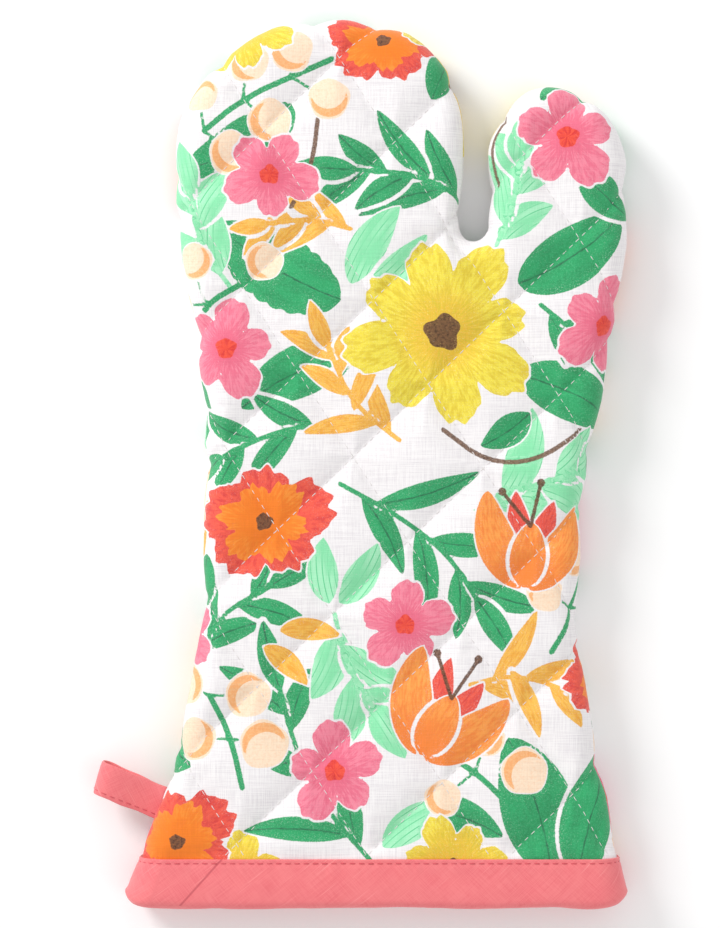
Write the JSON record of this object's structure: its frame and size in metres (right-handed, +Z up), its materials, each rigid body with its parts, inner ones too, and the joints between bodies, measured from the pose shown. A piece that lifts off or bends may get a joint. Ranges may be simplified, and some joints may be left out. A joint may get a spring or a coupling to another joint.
{
  "type": "oven mitt",
  "caption": "Quilted oven mitt with a separate thumb, a bias-bound cuff and a hanging loop at its side seam, lying flat.",
  "frame": {"origin": "middle of the underside's box, on the surface that the mitt lies on", "axes": "+Y from the cuff to the fingertips, +X towards the thumb, +Z up through the palm side"},
  "size_m": [0.1994, 0.33, 0.022],
  "materials": {
    "printed_cloth": "matt slub cotton with a printed floral",
    "batting": "fluffy cotton wadding",
    "lining": "plain woven cotton",
    "thread": "spun sewing thread",
    "binding": "plain woven cotton cut on the bias",
    "binding_thread": "spun sewing thread"
  },
  "bodies": {
    "palm": {"palm_front_cloth": "printed_cloth", "palm_front_batting": "batting", "palm_front_lining": "lining", "palm_front_quilting_thread": "thread", "palm_back_cloth": "printed_cloth", "palm_back_batting": "batting", "palm_back_lining": "lining", "palm_back_quilting_thread": "thread", "palm_seam_thread": "thread", "cuff_binding": "binding", "binding_topstitch": "binding_thread", "loop_ends": "binding", "loop_tack_thread": "binding_thread"},
    "finger": {"finger_front_cloth": "printed_cloth", "finger_front_batting": "batting", "finger_front_lining": "lining", "finger_front_quilting_thread": "thread", "finger_back_cloth": "printed_cloth", "finger_back_batting": "batting", "finger_back_lining": "lining", "finger_back_quilting_thread": "thread", "finger_seam_thread": "thread"},
    "thumb": {"thumb_front_cloth": "printed_cloth", "thumb_front_batting": "batting", "thumb_front_lining": "lining", "thumb_front_quilting_thread": "thread", "thumb_back_cloth": "printed_cloth", "thumb_back_batting": "batting", "thumb_back_lining": "lining", "thumb_back_quilting_thread": "thread", "thumb_seam_thread": "thread"},
    "loop": {"hanging_loop": "binding"}
  },
  "joints": [
    {"name": "finger_fold", "type": "hinge", "parent": "palm", "child": "finger", "pos_m": [-0.016, 0.088, 0.022], "axis": [1, 0, 0], "range_deg": [0, 90]},
    {"name": "thumb_fold", "type": "hinge", "parent": "palm", "child": "thumb", "pos_m": [0.07128, 0.08024, 0.022], "axis": [0.9659, -0.2588, 0], "range_deg": [0, 70]},
    {"name": "loop_flap", "type": "hinge", "parent": "palm", "child": "loop", "pos_m": [-0.07784, -0.12542, 0.011], "axis": [0.2756, 0.9613, 0], "range_deg": [-80, 90]}
  ]
}
